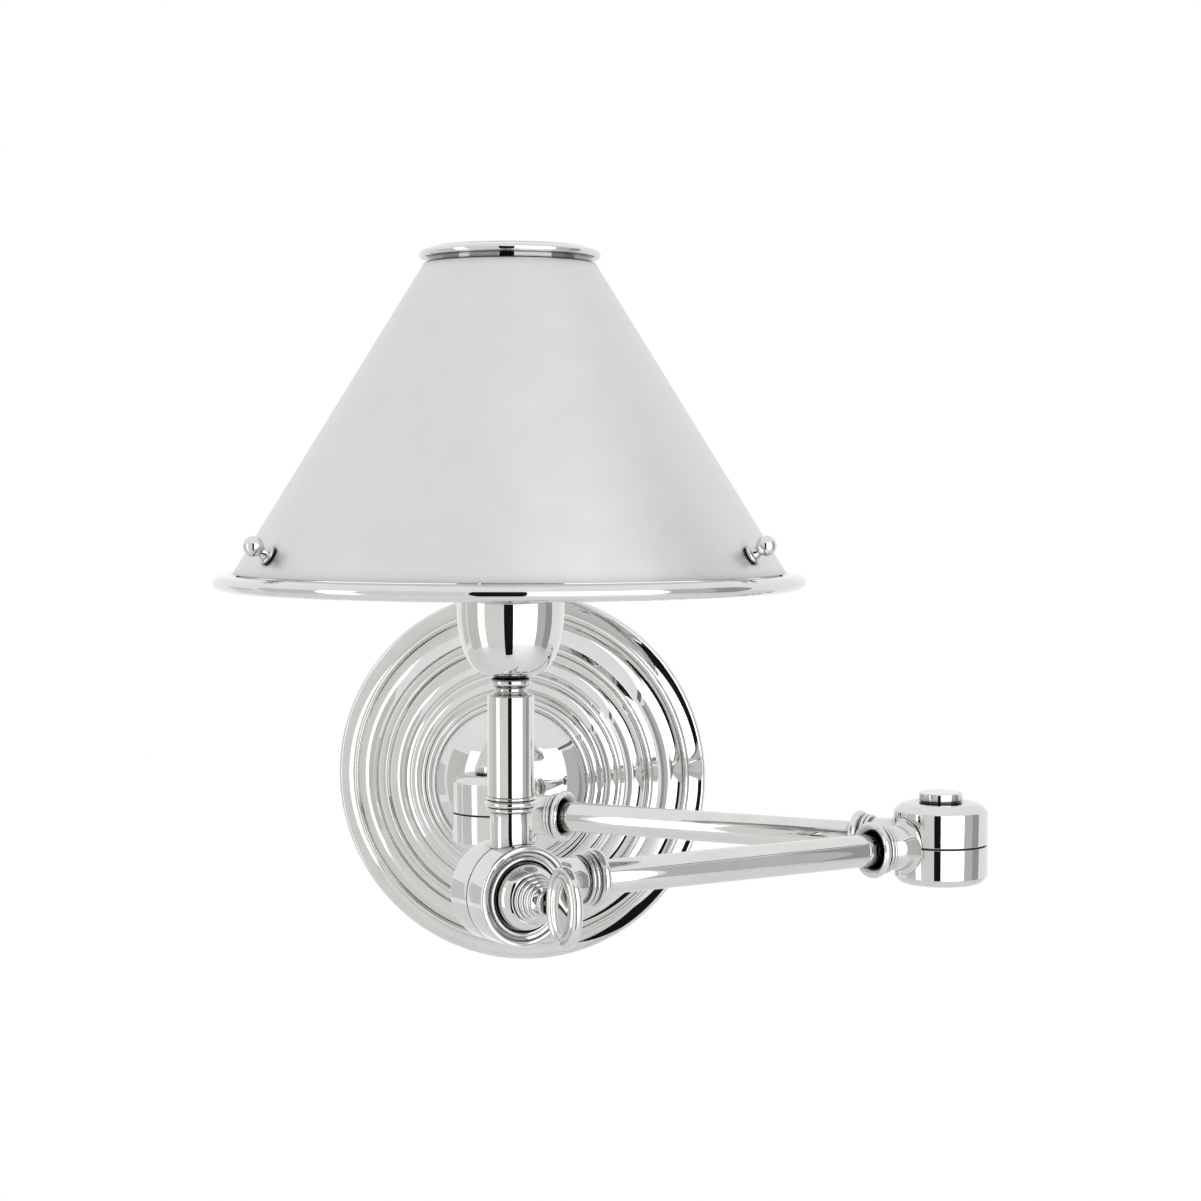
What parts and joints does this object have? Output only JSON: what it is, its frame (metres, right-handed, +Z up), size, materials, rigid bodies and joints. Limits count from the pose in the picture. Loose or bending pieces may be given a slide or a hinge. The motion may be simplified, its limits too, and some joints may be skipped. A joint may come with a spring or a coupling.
{
  "type": "swing arm wall sconce",
  "caption": "Wall lamp on a round stepped plate with a folding two-part swing arm, a clamped tilt joint and a conical metal shade.",
  "frame": {"origin": "centre of the crossbar's slot pattern on the wall's surface, which is the centre of the wall plate's back", "axes": "+Z up along the wall, +X to the right seen from the room, +Y into the wall, so the lamp stands out towards -Y"},
  "size_m": [0.2624, 0.3322, 0.2692],
  "materials": {
    "polished_nickel": "polished nickel plate on brass castings and tube",
    "shade_nickel": "satin nickel spun sheet",
    "brass": "plain machined brass",
    "zinc_steel": "zinc plated pressed steel",
    "green_screw": "green dyed plating",
    "porcelain": "unglazed white porcelain",
    "seam_nylon": "black nylon washer",
    "lead_insulation": "white lead insulation"
  },
  "bodies": {
    "wall": {"wall_plate": "polished_nickel", "crossbar": "zinc_steel", "ground_screw": "green_screw", "centre_nipple": "brass", "crossbar_nut": "zinc_steel", "plate_nut": "zinc_steel", "plate_lock_washer": "zinc_steel", "stub_rose": "polished_nickel", "wall_knuckle_upper": "polished_nickel", "wall_button": "polished_nickel"},
    "arm_1": {"wall_knuckle_lower": "polished_nickel", "wall_pivot": "brass", "wall_seam_washer": "seam_nylon", "wall_spring_washer": "zinc_steel", "wall_pivot_nut": "zinc_steel", "arm_1_wall_collar": "polished_nickel", "arm_1_tube": "polished_nickel", "arm_1_elbow_collar": "polished_nickel", "arm_1_leads": "lead_insulation", "elbow_knuckle_upper": "polished_nickel", "elbow_button": "polished_nickel"},
    "arm_2": {"elbow_knuckle_lower": "polished_nickel", "elbow_pivot": "brass", "elbow_seam_washer": "seam_nylon", "elbow_spring_washer": "zinc_steel", "elbow_pivot_nut": "zinc_steel", "arm_2_elbow_collar": "polished_nickel", "arm_2_tube": "polished_nickel", "arm_2_tilt_collar": "polished_nickel", "arm_2_leads": "lead_insulation", "tilt_drum_back": "polished_nickel"},
    "head": {"tilt_drum_front": "polished_nickel", "tilt_seam_washer": "seam_nylon", "tilt_boss": "polished_nickel", "post_ring": "polished_nickel", "post_tube": "polished_nickel", "post_neck": "polished_nickel", "post_nipple": "brass", "cup_nut": "zinc_steel", "post_leads": "lead_insulation", "socket_cup": "polished_nickel", "lamp_holder": "porcelain", "screw_shell": "brass", "centre_contact": "brass", "shade_carrier": "polished_nickel", "carrier_arms": "polished_nickel", "carrier_nut": "polished_nickel", "shade_cone": "shade_nickel", "shade_rim_bead": "polished_nickel", "shade_top_collar": "polished_nickel", "shade_thumb_screws": "polished_nickel"},
    "key": {"clamp_screw": "polished_nickel", "wing_key": "polished_nickel"}
  },
  "joints": [
    {"name": "wall_swivel", "type": "hinge", "parent": "wall", "child": "arm_1", "pos_m": [0, -0.066, -0.0064], "axis": [0, 0, 1], "range_deg": [-90, 20]},
    {"name": "elbow_swivel", "type": "hinge", "parent": "arm_1", "child": "arm_2", "pos_m": [0.16969, -0.13012, -0.0064], "axis": [0, 0, 1], "range_deg": [-3, 150]},
    {"name": "head_tilt", "type": "hinge", "parent": "arm_2", "child": "head", "pos_m": [0.0345, -0.23998, -0.0084], "axis": [0.6307, -0.776, 0], "range_deg": [-22, 75]},
    {"name": "key_turn", "type": "hinge", "parent": "arm_2", "child": "key", "pos_m": [0.0345, -0.23998, -0.0084], "axis": [0.6307, -0.776, 0], "range_deg": [-180, 0]}
  ]
}
